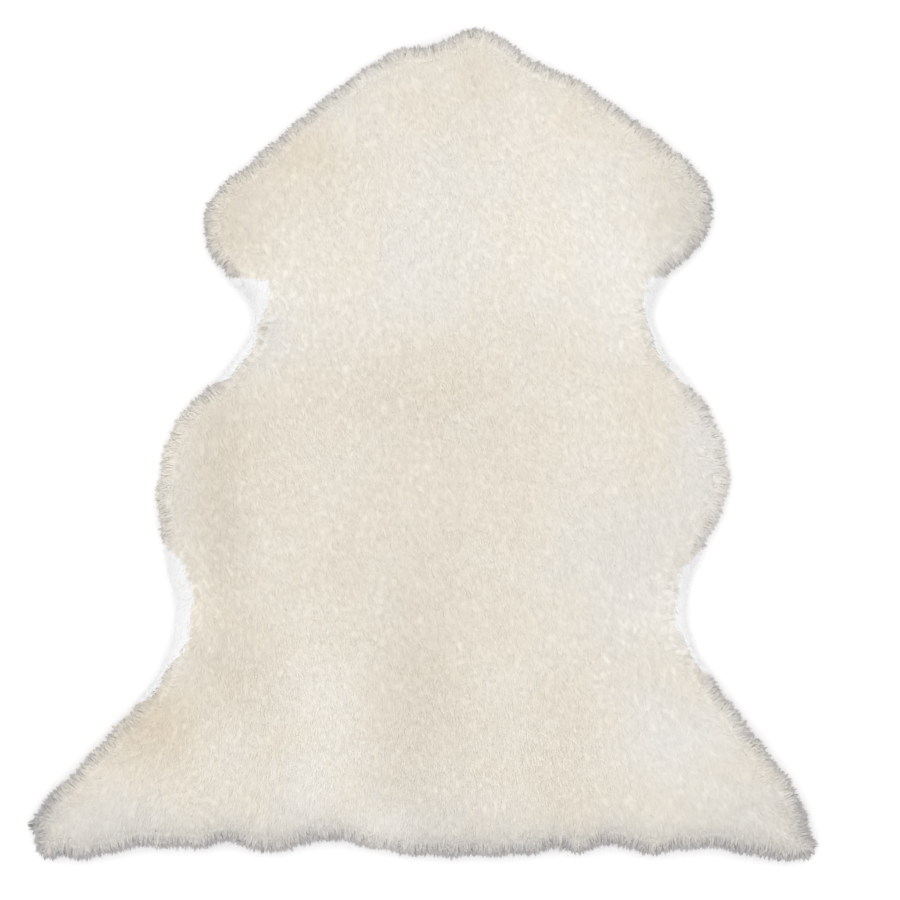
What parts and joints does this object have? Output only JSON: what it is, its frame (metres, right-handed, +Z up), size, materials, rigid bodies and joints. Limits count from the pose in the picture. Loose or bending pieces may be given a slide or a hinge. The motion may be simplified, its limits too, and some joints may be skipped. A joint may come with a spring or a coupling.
{
  "type": "sheepskin rug",
  "caption": "Flat natural sheepskin rug with short cream wool, an uneven pelt outline with neck, shoulders, belly and spread hind legs, to lie on a floor, seat or bed.",
  "frame": {"origin": "on the surface that the rug lies on, under the middle of its width and length", "axes": "+Z up out of the wool, +Y towards the neck, +X towards the right as seen from above with the neck away"},
  "size_m": [0.8972, 0.9516, 0.0322],
  "materials": {
    "wool": "short dense shorn wool, matt, undyed cream",
    "belly_hair": "short straight white hair at the armpits and flanks",
    "hide": "undyed suede, the skin side of the pelt"
  },
  "bodies": {
    "root": {"sheepskin": "wool"}
  },
  "joints": []
}
